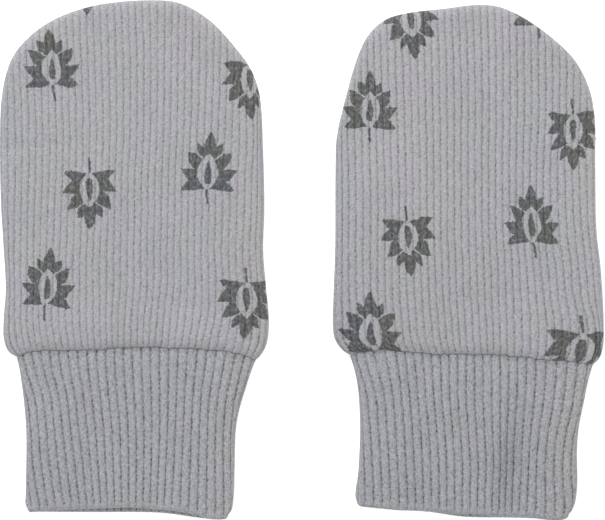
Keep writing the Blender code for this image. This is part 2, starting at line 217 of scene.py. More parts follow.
# ---------------------------------------------------------------- the knit
RIB = 1.78  # one rib of the bag in the material's own measure
CUFF_RIB = 2.39  # one rib of a cuff at the wrist
CUFF_RIBS = 28  # on each face of a cuff
COURSE = 1.36  # between the holes along a groove, two rows of stitches
STITCH = 0.68  # one row of stitches
BAG_STATIONS = (0.0, 0.045, 0.11, 0.26, 0.5, 0.74, 0.89, 0.955)  # columns in a rib, groove at 0
BACK_STATIONS = (0.0, 0.09, 0.24, 0.5, 0.76, 0.91)
TAU = 2 * math.pi


class Wire:
    """A number in a material's nodes. The knit's formulas below take these as well as arrays."""

    def __init__(self, tree, socket):
        self.tree, self.socket = tree, socket

    def math(self, operation, *values):
        node = self.tree.nodes.new("ShaderNodeMath")
        node.operation = operation
        for slot, value in zip(node.inputs, values):
            if isinstance(value, Wire):
                self.tree.links.new(value.socket, slot)
            else:
                slot.default_value = float(value)
        return Wire(self.tree, node.outputs[0])

    def __add__(self, other):
        return self.math("ADD", self, other)

    def __sub__(self, other):
        return self.math("SUBTRACT", self, other)

    def __rsub__(self, other):
        return self.math("SUBTRACT", other, self)

    def __mul__(self, other):
        return self.math("MULTIPLY", self, other)

    def __truediv__(self, other):
        return self.math("DIVIDE", self, other)

    def __neg__(self):
        return self.math("MULTIPLY", self, -1.0)

    def __abs__(self):
        return self.math("ABSOLUTE", self)

    __radd__, __rmul__ = __add__, __mul__


def either(operation, function):
    def apply(*values):
        for value in values:
            if isinstance(value, Wire):
                return value.math(operation, *values)
        return function(*values)
    return apply


sine, cosine = either("SINE", np.sin), either("COSINE", np.cos)
floor_of, exp_of = either("FLOOR", np.floor), either("EXPONENT", np.exp)
larger, smaller = either("MAXIMUM", np.maximum), either("MINIMUM", np.minimum)
power = either("POWER", np.power)


def part_of(v):
    return v - floor_of(v)


def knit(x, y, pitch):
    """The rib knit at cloth place x, y: how open the groove is there, the stitches' height, and the
    distance from the groove in ribs. A groove runs at each whole number of pitches."""
    rib = x / pitch
    number = floor_of(rib + 0.5)
    a, b, c = part_of(number * 0.7549), part_of(number * 0.618), part_of(number * 0.4142)
    sway = (sine(TAU * (y / 3.7 + a * 3.0)) + sine(TAU * (y / 2.1 + c * 5.0)) * 0.7) * 0.055
    near = abs(rib - number + sway / pitch)
    drift = (sine(TAU * (x / 7.3 + y / 15.1)) + sine(TAU * (y / 23.0 - x / 4.1) + 2.0)
             + sine(TAU * (x / 12.7 - y / 8.9) + 4.0)) / 3.0
    loose = (0.74 + 0.20 * a + 0.20 * drift + 0.13 * sine(TAU * (y / 8.3 + b))
             + 0.13 * sine(TAU * (y / 4.9 + c)) + 0.10 * sine(TAU * (y / 3.1 + a * 7.0)))
    beat = y / COURSE + b + 0.15 * sine(TAU * (y / 6.7 + c)) + 0.06 * sine(TAU * (y / 2.9 + a))
    hole = 0.5 - 0.5 * cosine(TAU * beat)
    groove = exp_of(-(near / 0.075) * (near / 0.075))
    opening = groove * larger(loose, 0.12) * (0.34 + 0.66 * hole)
    wale = floor_of(rib)
    off = abs(rib - wale - 0.5)
    leg = 0.5 + 0.5 * cosine(TAU * (y / STITCH - 1.2 * off + 0.25 * part_of(wale * 0.618 + 0.3)))
    return opening, leg, near


# The print: x and y of each leaf's middle, whether its tip is up, its tilt in degrees and, where the
# cloth is stretched, its size.
LEFT_LEAVES = (
    (-20.8, 73.9, True, 2), (19.9, 46.9, True, -2), (-21.9, 16.8, True, -4), (30.8, 70.0, False, 3),
    (-11.0, 41.4, False, 2), (30.0, 12.8, False, -2), (-11.5, 97.3, False, 0),
)
RIGHT_LEAVES = (
    (-15.1, 86.6, False, 4), (17.9, 91.1, True, 2), (-25.9, 63.8, True, -2), (16.2, 33.8, True, 0),
    (-25.7, 5.7, True, -3, 1.07), (27.0, 57.5, False, 2), (-15.9, 29.8, False, 3), (28.8, -0.5, False, -2, 1.18),
)
LEAF_STEP = (41.3, 57.5)  # between columns, and up one column
LEAF_DOWN = (10.7, 22.5)  # from an upright leaf to the hanging one beside it

MITTENS = {
    "left": dict(place=(-44.4, -23.6), outline=LEFT_OUTLINE, wrist=LEFT_WRIST, sides=LEFT_SIDES,
                 mouth=LEFT_MOUTH, short=LEFT_SHORT, folds=LEFT_FOLDS, run=LEFT_RUN, seed=11, rib=1.765, depth=0.41,
                 ripples=LEFT_RIPPLES, under=LEFT_UNDER, lean=LEFT_LEAN,
                 twist=(LEFT_TWIST_RIBS, LEFT_TWIST),
                 leaves=LEFT_LEAVES, back=(6.0, 30.0)),
    "right": dict(place=(43.6, -24.4), outline=RIGHT_OUTLINE, wrist=RIGHT_WRIST, sides=RIGHT_SIDES,
                  mouth=RIGHT_MOUTH, short=RIGHT_SHORT, folds=RIGHT_FOLDS, run=RIGHT_RUN, seed=37, rib=1.83, depth=0.52,
                  ripples=RIGHT_RIPPLES, under=RIGHT_UNDER, lean=RIGHT_LEAN,
                  twist=(RIGHT_TWIST_RIBS, RIGHT_TWIST),
                  leaves=RIGHT_LEAVES, back=(-13.0, 44.0)),
}


def smooth_curve(rows, per_row=24):
    p = np.array(rows, float)
    p = np.vstack([2 * p[0] - p[1], p, 2 * p[-1] - p[-2]])
    out = []
    for a, b, c, d in zip(p, p[1:], p[2:], p[3:]):
        t0 = 0.0
        t1 = t0 + np.linalg.norm(b - a) ** 0.5
        t2 = t1 + np.linalg.norm(c - b) ** 0.5
        t3 = t2 + np.linalg.norm(d - c) ** 0.5
        t = np.linspace(t1, t2, per_row, endpoint=False)[:, None]
        ab = ((t1 - t) * a + (t - t0) * b) / (t1 - t0)
        bc = ((t2 - t) * b + (t - t1) * c) / (t2 - t1)
        cd = ((t3 - t) * c + (t - t2) * d) / (t3 - t2)
        abc = ((t2 - t) * ab + (t - t0) * bc) / (t2 - t0)
        bcd = ((t3 - t) * bc + (t - t1) * cd) / (t3 - t1)
        out.append(((t2 - t) * abc + (t - t1) * bcd) / (t2 - t1))
    return np.vstack(out + [p[-2:-1]])


def run_of(curve):
    return np.r_[0.0, np.cumsum(np.linalg.norm(np.diff(curve, axis=0), axis=-1))]


def along(curve, shares):
    run = run_of(curve)
    at = np.asarray(shares, float) * run[-1]
    return np.stack([np.interp(at, run, curve[:, i]) for i in (0, 1)], axis=-1)


def length(curve):
    return float(run_of(curve)[-1])


def rise(distance, roll):
    v = np.clip(np.asarray(distance, float) / roll, 0.0, 1.0)
    return np.sqrt(1.0 - (1.0 - v) ** 2)


def hollows(x, y, folds):
    depth = np.zeros(np.broadcast(x, y).shape)
    for fx, fy, half_length, half_width, direction, deep in folds:
        c, s = math.cos(math.radians(direction)), math.sin(math.radians(direction))
        run = ((x - fx) * c + (y - fy) * s) / half_length
        off = ((y - fy) * c - (x - fx) * s) / half_width
        depth = depth + deep * np.exp(-(run**2) - off**2)
    return depth


def step(low, high, v):
    t = np.clip((v - low) / (high - low), 0.0, 1.0)
    return t * t * (3 - 2 * t)


def waves(x, y, seed, across, down, count=7):
    """A gentle wander between about -1 and 1, of these wavelengths."""
    rng = np.random.default_rng(seed)
    total = np.zeros(np.broadcast(x, y).shape)
    for _ in range(count):
        fx, fy = rng.uniform(0.5, 1.4, 2) * rng.choice((-1, 1), 2)
        total = total + np.sin(2 * np.pi * (x * fx / across + y * fy / down) + rng.uniform(0, 2 * np.pi))
    return total / math.sqrt(count / 2) / 1.6


def graph(at, values, where):
    """A smooth curve through values at these places (rising), read off where wanted."""
    at, values = np.asarray(at, float), np.asarray(values, float)
    slopes = np.gradient(values, at, axis=0)
    i = np.clip(np.searchsorted(at, where) - 1, 0, len(at) - 2)
    wide = at[i + 1] - at[i]
    t = np.clip((where - at[i]) / wide, 0.0, 1.0)
    if values.ndim > 1:
        t, wide = t[..., None], wide[..., None]
    h = (2 * t**3 - 3 * t**2 + 1, t**3 - 2 * t**2 + t, 3 * t**2 - 2 * t**3, t**3 - t**2)
    return h[0] * values[i] + h[1] * wide * slopes[i] + h[2] * values[i + 1] + h[3] * wide * slopes[i + 1]


def leaning(m, share, y):
    """How far a rib leans at height y, for arrays of rows and columns."""
    rows = sorted(m["lean"])
    heights = [row[0] for row in rows]
    total = np.zeros(np.broadcast(share, y).shape)
    # each column of the table is a curve in y, and its neighbours are blended smoothly
    curves = [graph(heights, [row[k + 1] for row in rows], np.clip(y, heights[0], heights[-1])) for k in range(len(LEAN_AT))]
    share = np.broadcast_to(share, total.shape)
    for k in range(len(LEAN_AT) - 1):
        a, b = LEAN_AT[k], LEAN_AT[k + 1]
        t = np.clip((share - a) / (b - a), 0, 1)
        t = t * t * (3 - 2 * t)
        here = (share >= a) & ((share < b) if k < len(LEAN_AT) - 2 else (share <= b))
        total = np.where(here, curves[k] * (1 - t) + curves[k + 1] * t, total)
    return total


def seam_line(x, seed):
    """How far the seam of bag and cuff wanders off its even run, in mm."""
    rng = np.random.default_rng(seed + 100)
    total = 0.0
    for wave in (23.0, 9.5, 5.3, 3.1, 2.3, 1.7):
        total = total + math.sqrt(wave) * np.sin(2 * np.pi * x / (wave * rng.uniform(0.85, 1.15)) + rng.uniform(0, 2 * np.pi))
    return 0.028 * total


def turned(distance, roll=TURN, square=TURN_SQUARE):
    """0 on an edge and 1 past the roll, round between."""
    v = np.clip(np.asarray(distance, float) / roll, 0.0, 1.0)
    return (1.0 - (1.0 - v) ** square) ** (1.0 / square)


def over_edge(height, roll=TURN):
    """Across a turned edge: how far in from it each length of cloth reaches."""
    inwards = roll * np.linspace(0, 1, 3000) ** 2
    up = height * turned(inwards, roll)
    cloth = np.r_[0, np.cumsum(np.hypot(np.diff(inwards), np.diff(up)))]
    return cloth, inwards


def in_from_edges(a, total, width, cloth, inwards):
    """Where each place of the cloth, from edge to edge, lies across the flat width."""
    side = np.minimum(a, total - a)
    off = np.where(side < cloth[-1], np.interp(side, cloth, inwards), inwards[-1] + side - cloth[-1])
    return np.where(a < total / 2, off, width - off)


def footprint():
    spots = []
    for m in MITTENS.values():
        cuff = [smooth_curve(m["mouth"])] + [smooth_curve(rows) for rows in m["sides"]]
        spots += [curve + np.array(m["place"]) for curve in [smooth_curve(m["outline"])] + cuff]
    spots = np.vstack(spots)
    return (spots.min(axis=0) + spots.max(axis=0)) / 2


MIDDLE = footprint()


# ---------------------------------------------------------------- mesh making
def quads_of(nu, nv, closed_u=False):
    """Faces of a grid of points, index = j * nu + i, with i across and j along."""
    i = np.arange(nu if closed_u else nu - 1)
    j = np.arange(nv - 1)
    a = (j[:, None] * nu + i[None, :]).ravel()
    b = (j[:, None] * nu + (i[None, :] + 1) % nu).ravel()
    return np.stack([a, b, b + nu, a + nu], axis=1)


def turned_out(points, faces):
    """The faces, flipped if they face inwards."""
    tris = np.vstack([faces[:, (0, 1, 2)], faces[:, (0, 2, 3)]])
    p = points[tris]
    volume = np.einsum("ij,ij->i", p[:, 0], np.cross(p[:, 1], p[:, 2])).sum()
    return faces if volume > 0 else faces[:, ::-1]


def make_piece(name, m, points, quads, tris, maps, flat_tris=0, marks=None):
    """A mesh object in metres. maps gives a UV value for each face corner, quads then tris."""
    mesh = bpy.data.meshes.new(name)
    faces_n = len(quads) + len(tris)
    loops_n = 4 * len(quads) + 3 * len(tris)
    world = (points + np.array([*(np.array(m["place"]) - MIDDLE), 0.0])) * MM
    mesh.vertices.add(len(points))
    mesh.vertices.foreach_set("co", world.astype(np.float32).ravel())
    mesh.loops.add(loops_n)
    mesh.loops.foreach_set("vertex_index", np.r_[quads.ravel(), tris.ravel()].astype(np.int32))
    mesh.polygons.add(faces_n)
    starts = np.r_[np.arange(len(quads)) * 4, 4 * len(quads) + np.arange(len(tris)) * 3]
    mesh.polygons.foreach_set("loop_start", starts.astype(np.int32))
    smooth = np.ones(faces_n, bool)
    if flat_tris:
        smooth[len(quads):len(quads) + flat_tris] = False
    mesh.polygons.foreach_set("use_smooth", smooth)
    mesh.update(calc_edges=True)
    mesh.validate()
    for key, values in maps.items():
        layer = mesh.uv_layers.new(name=key, do_init=False)
        layer.uv.foreach_set("vector", values.astype(np.float32).ravel())
    piece = bpy.data.objects.new(name, mesh)
    bpy.context.scene.collection.objects.link(piece)
    return piece


# ---------------------------------------------------------------- the bag's panels
def back_leaves(m):
    """The same print on a back panel, from one upright leaf's place."""
    x0, y0 = m["back"]
    leaves = []
    for i in range(-2, 3):
        for j in range(-3, 4):
            x, y = x0 + i * LEAF_STEP[0], y0 + (j + 0.5 * (i % 2)) * LEAF_STEP[1]
            tilt = ((i * 7 + j * 5) % 9) - 4
            leaves += [(x, y, True, tilt), (x + LEAF_DOWN[0], y + LEAF_DOWN[1], False, -tilt / 2)]
    return [leaf for leaf in leaves if abs(leaf[0]) < 40 and -8 < leaf[1] < 98]


class Outline:
    """A bag's closed outline, and how near any point is to it."""

    def __init__(self, m):
        self.edge = smooth_curve(m["outline"], 40)
        self.wrist = smooth_curve(m["wrist"], 60)
        run = run_of(self.wrist)
        seam = turned(np.minimum(run, run[-1] - run), 2.4)
        loop = np.vstack([self.edge, self.wrist[::-1][1:-1]])
        self.loop = loop
        self.seam = np.r_[np.zeros(len(self.edge)), seam[::-1][1:-1]]
        self.tree = KDTree(len(loop))
        for i, p in enumerate(loop):
            self.tree.insert((p[0], p[1], 0.0), i)
        self.tree.balance()
        top = int(self.edge[:, 1].argmax())
        self.left, self.right = self.edge[:top + 1], self.edge[top:][::-1]
        self.run = m["run"]
        self.m = m

    def near(self, x, y):
        """Distance in from the outline, and the nearest spot's share of wrist seam."""
        flat_x, flat_y = x.ravel(), y.ravel()
        find = self.tree.find
        index = np.fromiter((find((a, b, 0.0))[1] for a, b in zip(flat_x.tolist(), flat_y.tolist())), int, len(flat_x))
        here = np.stack([flat_x, flat_y], 1)
        n = len(self.loop)
        best = np.full(len(flat_x), 1e9)
        seam = np.zeros(len(flat_x))
        for other in (-1, 1):
            a, b = self.loop[index], self.loop[(index + other) % n]
            d = b - a
            t = np.clip(((here - a) * d).sum(1) / np.maximum((d * d).sum(1), 1e-12), 0, 1)
            gap = np.linalg.norm(here - a - d * t[:, None], axis=1)
            value = self.seam[index] * (1 - t) + self.seam[(index + other) % n] * t
            closer = gap < best
            best = np.where(closer, gap, best)
            seam = np.where(closer, value, seam)
        return best.reshape(x.shape), seam.reshape(x.shape)

    def holds(self, at):
        """Whether a point is inside the outline."""
        a, b = self.loop, np.roll(self.loop, -1, axis=0)
        spans = (a[:, 1] > at[1]) != (b[:, 1] > at[1])
        reach = a[spans, 0] + (at[1] - a[spans, 1]) / (b[spans, 1] - a[spans, 1]) * (b[spans, 0] - a[spans, 0])
        return int((reach > at[0]).sum()) % 2 == 1

    def guides(self, y):
        """The two sides as straight runs, and how far the outline bends in from them below."""
        found = []
        for curve, (low, high) in zip((self.left, self.right), self.run):
            straight = np.interp(np.clip(y, low, high), curve[:, 1], curve[:, 0])
            true = np.interp(np.minimum(y, low), curve[:, 1], curve[:, 0])
            start = np.interp(low, curve[:, 1], curve[:, 0])
            found += [straight, np.where(y < low, true - start, 0.0)]
        return found

    def across(self, share, y):
        """x of a rib, by its share of the width."""
        left, bend_left, right, bend_right = self.guides(y)
        straight = left + share * (right - left) + bend_left * (1 - share) ** 2.5 + bend_right * share**2.5
        return straight + leaning(self.m, share, y)

    def bottom(self, share):
        """y where each rib meets the wrist seam."""
        low, high = np.full(len(share), -4.5), np.full(len(share), 4.5)
        for _ in range(50):
            mid = (low + high) / 2
            above = mid > np.interp(self.across(share, mid), self.wrist[:, 0], self.wrist[:, 1])
            low, high = np.where(above, low, mid), np.where(above, mid, high)
        low[0], low[-1] = self.wrist[0, 1], self.wrist[-1, 1]
        return low

    def top(self, share):
        """y where each rib meets the dome."""
        (_, l1), (_, r1) = self.run
        left = self.left[self.left[:, 1] > l1]
        right = self.right[self.right[:, 1] > r1]
        left0, _, _, _ = self.guides(np.array(l1))
        _, _, right0, _ = self.guides(np.array(r1))
        dome = np.vstack([(float(left0), l1), left, right[::-1][1:], (float(right0), r1)])
        fine = along(dome, np.linspace(0, 1, 3000))
        # the dome's height over each rib: up the rib until it is outside
        y = np.linspace(40.0, 94.0, 2161)[:, None]
        x = self.across(share[None, :], y)
        peak = int(fine[:, 1].argmax())
        rising, falling = fine[:peak + 1], fine[peak:][::-1]
        xl = np.interp(y, rising[:, 1], rising[:, 0], left=-99.0)
        xr = np.interp(y, falling[:, 1], falling[:, 0], left=99.0)
        outside = (x < xl) | (x > xr) | (y > fine[peak, 1])
        first = np.maximum(outside.argmax(axis=0), 1)
        low, high = y[first - 1, 0], y[first, 0]
        for _ in range(24):  # between the last place inside and the first outside
            mid = (low + high) / 2
            x = self.across(share, mid)
            out = ((mid > fine[peak, 1]) | (x < np.interp(mid, rising[:, 1], rising[:, 0], left=-99.0))
                   | (x > np.interp(mid, falling[:, 1], falling[:, 0], left=99.0)))
            low, high = np.where(out, low, mid), np.where(out, mid, high)
        high[0], high[-1] = l1, r1
        return high


def rib_relief(x, y, pitch, depth, round_off):
    """How far the surface lies below the ribs' tops, in mm."""
    opening, _, near = knit(x, y, pitch)
    return depth * opening + round_off * (1 - 2 * near) ** 2


def panel_shape(m, front, x, y, gap, seam):
    edge = EDGE_LEVEL + (0.06 if front else -0.06)
    lip = edge + ((BAG_LIP if front else CREASE_UNDER) - edge) * seam
    if front:
        level = BAG_HEIGHT + BAG_SWELL * np.exp(-(((y - 4.0) / 11.0) ** 2)) - hollows(x, y, m["folds"] + m["ripples"])
        level = level + 0.10 * waves(x, y, m["seed"], 33.0, 21.0) * step(0, 6, gap)
    else:
        level = hollows(x, y, m["under"]) * step(1.0, 6.0, gap)
    dome = step(64.0, 84.0, y)
    return lip + (level - lip) * turned(gap, TURN + 1.4 * seam + 1.0 * dome, TURN_SQUARE - 0.45 * seam - 0.3 * dome)


def normals_of(p):
    across = np.gradient(p, axis=1)
    down = np.gradient(p, axis=0)
    n = np.cross(across, down)
    return n / np.maximum(np.linalg.norm(n, axis=2, keepdims=True), 1e-9)


def bag_panel(side, m, outline, front):
    name = f"{side}_{'front' if front else 'back'}_panel"
    width = 69.2
    cloth, inwards = over_edge(BAG_HEIGHT - EDGE_LEVEL)
    total = width - 2 * TURN + 2 * cloth[-1]
    ribs = int(round(total / m["rib"]))
    stations = BAG_STATIONS if front else BACK_STATIONS
    columns = np.array([r + s for r in range(ribs) for s in stations] + [ribs]) - ribs / 2
    share = in_from_edges((columns / ribs + 0.5) * total, total, width, cloth, inwards) / width
    share[0], share[-1] = 0.0, 1.0
    low, high = outline.bottom(share), outline.top(share)
    samples = 420
    t = (1 - np.cos(np.linspace(0, np.pi, samples))) / 2
    y = low[None, :] + (high - low)[None, :] * t[:, None]
    x = outline.across(share[None, :], y)
    gap, seam = outline.near(x, y)
    gap[:, 0] = gap[:, -1] = 0.0
    gap[0, :] = gap[-1, :] = 0.0
    # rows evenly along the cloth of each column
    p = np.stack([x, y, panel_shape(m, front, x, y, gap, seam)], axis=2)
    run = np.vstack([np.zeros(len(share)), np.cumsum(np.linalg.norm(np.diff(p, axis=0), axis=2), axis=0)])
    rows = (272) if front else (200)
    targets = np.linspace(0, 1, rows + 1)

    def pick(values):
        return np.stack([np.interp(targets * run[-1, i], run[:, i], values[:, i]) for i in range(len(share))], axis=1)

    y2, gap2, seam2 = pick(y), pick(gap), pick(seam)
    y2[0], y2[-1] = low, high
    x2 = outline.across(share[None, :], y2)
    base = np.stack([x2, y2, panel_shape(m, front, x2, y2, gap2, seam2)], axis=2)
    reference = np.array([np.interp(30.0, y[:, i], run[:, i]) for i in range(len(share))])
    cloth_y = targets[:, None] * run[-1][None, :] - reference[None, :] + 30.0
    shift = ribs / 2 + m["seed"] * 10 + (0 if front else 60)  # a stretch of cloth of its own
    rib_at = np.broadcast_to(columns + shift, y2.shape)
    relief = rib_relief(rib_at * RIB, cloth_y, RIB, m["depth"], 0.17)
    inside = step(0.0, 1.1, gap2) * (1 - seam2) + step(0.0, 0.5, gap2) * seam2
    rim = 0.36 - 0.30 * step(60.0, 80.0, y2) - 0.08 * seam2
    relief = relief * (rim + (1 - rim) * inside)
    # the ribs stand apart where they bend round the lower corners
    relief = relief * (1 + 1.0 * np.exp(-(((y2 - 2.0) / 7.0) ** 2)) * (1 - step(0.0, 9.0, gap2)) * (1 - seam2) * (2 * np.abs(share - 0.5))[None, :] ** 4)
    out = normals_of(base)
    if (out[rows // 2, len(share) // 2, 2] > 0) != front:
        out = -out
    shape = base - out * relief[:, :, None]
    wander = 0.05 * waves(x2, y2, m["seed"] + 7 + (not front), 9.0, 13.0) * step(0.3, 4.0, gap2)
    shape[:, :, 0] += wander
    above = y2 - low[None, :]
    shape[:, :, 1] += seam_line(x2, m["seed"]) * np.exp(-((above / 1.6) ** 2)) * (seam2 if front else seam2 * 0)
    if not front:
        shape[:, :, 2] = np.maximum(shape[:, :, 2], 0.0)
    nu, nv = len(share), rows + 1
    # the wall's inside: rings in from every k-th point of the rim
    rim = np.r_[np.arange(nu - 1), (nu - 1) + nu * np.arange(nv - 1),
                nu * (nv - 1) + np.arange(nu - 1, 0, -1), nu * np.arange(nv - 1, 0, -1)]
    k = 6
    while len(rim) % k:
        k -= 1
    anchor = shape.reshape(-1, 3)[rim[::k]]
    ring, in_seam = base.reshape(-1, 3)[rim[::k]][:, :2], seam2.ravel()[rim[::k]]
    sign = 1.0 if front else -1.0
    edge = EDGE_LEVEL + sign * 0.06
    crease = (BAG_LIP if front else CREASE_UNDER) - sign * SEAM_WALL
    lip_in = edge + (crease - edge) * in_seam
    target = np.stack([np.full(len(ring), BAG_CENTRE[0]), np.clip(ring[:, 1], *BAG_SPINE)], axis=1)
    ray = target - ring
    ray /= np.linalg.norm(ray, axis=1)[:, None]
    tangent = np.roll(ring, -3, axis=0) - np.roll(ring, 3, axis=0)
    tangent /= np.linalg.norm(tangent, axis=1)[:, None]
    square_on = np.maximum(np.abs(ray[:, 0] * tangent[:, 1] - ray[:, 1] * tangent[:, 0]), 0.6)
    start = BAG_WALL * (1 - in_seam)
    rings = []
    for angle in (0.0, 20.0, 45.0, 70.0, 90.0):
        turn = math.radians(angle)
        xy = ring + ray * ((start + (EDGE_ROLL + 0.4 - start) * (1 - math.cos(turn))) / square_on)[:, None]
        plain = BAG_HEIGHT + WRIST_PUFF * np.exp(-(((xy[:, 1] - 5.0) / 7.5) ** 2)) - hollows(xy[:, 0], xy[:, 1], m["folds"])
        level = (plain if front else 0.0) - sign * BAG_WALL
        rings.append(np.column_stack([xy, lip_in + (level - lip_in) * math.sin(turn)]))
    for part in (0.2, 0.4, 0.6, 0.8):
        xy = rings[4][:, :2] * (1 - part) + np.array(BAG_CENTRE) * part
        plain = BAG_HEIGHT + WRIST_PUFF * np.exp(-(((xy[:, 1] - 5.0) / 7.5) ** 2)) - hollows(xy[:, 0], xy[:, 1], m["folds"])
        rings.append(np.column_stack([xy, np.zeros(len(xy)) + (plain if front else 0.0) - sign * BAG_WALL]))
    n = len(anchor)
    outer_n = nu * nv
    centre = rings[-1].mean(axis=0)
    points = np.vstack([shape.reshape(-1, 3)] + rings + [centre[None]])
    quads = [quads_of(nu, nv)]
    for i in range(len(rings) - 1):
        r0, r1 = outer_n + i * n, outer_n + (i + 1) * n
        j = np.arange(n)
        quads.append(np.stack([r0 + (j + 1) % n, r0 + j, r1 + j, r1 + (j + 1) % n], axis=1))
    quads = np.vstack(quads)
    tris = []
    total_rim = len(rim)
    for i in range(n):
        b0, b1 = outer_n + i, outer_n + (i + 1) % n
        turn_at = k // 2
        for j in range(k):
            p0, p1 = rim[(i * k + j) % total_rim], rim[(i * k + j + 1) % total_rim]
            if j == turn_at:
                tris.append((b0, b1, p0))
            tris.append((b0 if j < turn_at else b1, p1, p0))
    strip = len(tris)
    last = outer_n + (len(rings) - 1) * n
    tris += [(last + (j + 1) % n, last + j, outer_n + len(rings) * n) for j in range(n)]
    tris = np.array(tris)
    # one facing for all
    big = np.vstack([quads[:, (0, 1, 2)], quads[:, (0, 2, 3)], tris])
    v = points[big]
    if np.einsum("ij,ij->i", v[:, 0], np.cross(v[:, 1], v[:, 2])).sum() < 0:
        quads, tris = quads[:, ::-1], tris[:, ::-1]
    # maps: the cloth's own coordinates, each face's place in its leaf, and a layout for the whole piece
    cloth_xy = np.empty((len(points), 2))
    cloth_xy[:outer_n, 0] = (rib_at * RIB).ravel()
    real = total / ribs / RIB  # the print is as wide as it was cut, whatever the ribs' pitch
    cloth_xy[:outer_n, 1] = cloth_y.ravel()
    cloth_xy[outer_n:] = points[outer_n:, :2]
    corners = np.r_[quads.ravel(), tris.ravel()]
    face_n = np.r_[np.full(len(quads), 4), np.full(len(tris), 3)]
    face_of = np.repeat(np.arange(len(face_n)), face_n)
    middle = np.stack([np.bincount(face_of, cloth_xy[corners, i]) / face_n for i in (0, 1)], axis=1)
    leaf = np.full((len(corners), 2), 60.0)
    flat = np.stack([x2, y2], axis=2).reshape(-1, 2)
    for lx, ly, upright, tilt, *size in m["leaves"] if front else back_leaves(m):
        size = size[0] if size else 1.0
        at = np.array([lx, ly])
        for _ in range(60):  # the part of the leaf that is well inside the outline
            if outline.near(at[:1], at[1:])[0][0] > 4.0 and outline.holds(at):
                break
            at = at + (np.array([0.0, 43.0]) - at) / np.linalg.norm(at - (0.0, 43.0)) * 0.4
        nearest = int(((flat - at) ** 2).sum(1).argmin())
        centre = cloth_xy[nearest] + (np.array([lx, ly]) - flat[nearest]) / (real, 1.0)
        turn = math.radians(tilt + (0 if upright else 180))
        c, sn = math.cos(turn), math.sin(turn)
        here = np.hypot(*((middle - centre) * (real, 1.0)).T) < 12.5
        here[len(quads):] = False
        picked = here[face_of]
        off = (cloth_xy[corners[picked]] - centre) * (real, 1.0)
        if front and ly < 15.0:  # the swell's steep foot shows the print no shorter
            off[:, 1] = flat[corners[picked], 1] - ly
        leaf[picked] = np.stack([off[:, 0] * c + off[:, 1] * sn, off[:, 1] * c - off[:, 0] * sn], axis=1) / size
    lay = np.empty((len(points), 2))
    span = 104.0
    lay[:outer_n, 0] = (cloth_xy[:outer_n, 0] - (shift - ribs / 2 - 0.5) * RIB) / span
    lay[:outer_n, 1] = (cloth_xy[:outer_n, 1] + 6.0) / span
    inner_at = points[outer_n:, :2]
    lay[outer_n:, 0] = 0.88 + (inner_at[:, 0]) / 80.0 * 0.22
    lay[outer_n:, 1] = 0.14 + (inner_at[:, 1] - 43.0) / 100.0 * 0.24
    pin = lay[corners]
    # the strip between outside and inside is laid apart, so that no face crosses the layout
    first = 4 * len(quads)
    pin[first:first + 3 * strip] = np.tile([[0.80, 0.30], [0.80, 0.31], [0.81, 0.30]], (strip, 1))
    piece = make_piece(name + "_knit", m, points, quads, tris, {"cloth": cloth_xy[corners], "leaf": leaf, "OFBake": pin}, flat_tris=strip)
    print(name, "tris", 2 * len(quads) + len(tris), "ribs", ribs, "columns", nu, "rows", nv,
          "z", points[:, 2].min().round(3), points[:, 2].max().round(3),
          "cloth", round(total, 1), cloth_y.min().round(1), cloth_y.max().round(1))
    return piece, dict(total=total, ribs=ribs, cloth_y=(cloth_y.min(), cloth_y.max()))


